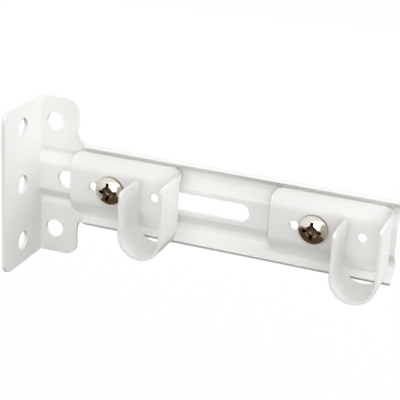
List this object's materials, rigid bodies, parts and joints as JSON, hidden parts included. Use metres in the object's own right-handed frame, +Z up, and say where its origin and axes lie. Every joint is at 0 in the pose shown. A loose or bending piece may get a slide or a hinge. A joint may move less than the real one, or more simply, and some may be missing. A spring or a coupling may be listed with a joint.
{
  "type": "curtain pole bracket",
  "caption": "Wall bracket for a pair of curtain poles: a ribbed, slotted steel arm with sliding cradle hooks, each clamped by a cross-recess screw and a square nut.",
  "frame": {"origin": "in the wall plane, at the middle of the row of wall screw holes", "axes": "+X out from the wall along the arm, -Y to the front, +Z up"},
  "size_m": [0.156, 0.039, 0.07],
  "materials": {
    "arm_paint": "white powder coat, satin",
    "hook_paint": "white powder coat, satin",
    "screw_plate": "nickel plate",
    "nut_plate": "zinc plate"
  },
  "bodies": {
    "arm": {"bracket_arm": "arm_paint"},
    "rear_carrier": {"rear_hook": "hook_paint", "rear_screw": "screw_plate", "rear_nut": "nut_plate"},
    "front_carrier": {"front_hook": "hook_paint", "front_screw": "screw_plate", "front_nut": "nut_plate"}
  },
  "joints": [
    {"name": "rear_slide", "type": "slide", "parent": "arm", "child": "rear_carrier", "axis": [1, 0, 0], "range_m": [-0.012, 0.024]},
    {"name": "front_slide", "type": "slide", "parent": "arm", "child": "front_carrier", "axis": [1, 0, 0], "range_m": [-0.011, 0.022]}
  ]
}
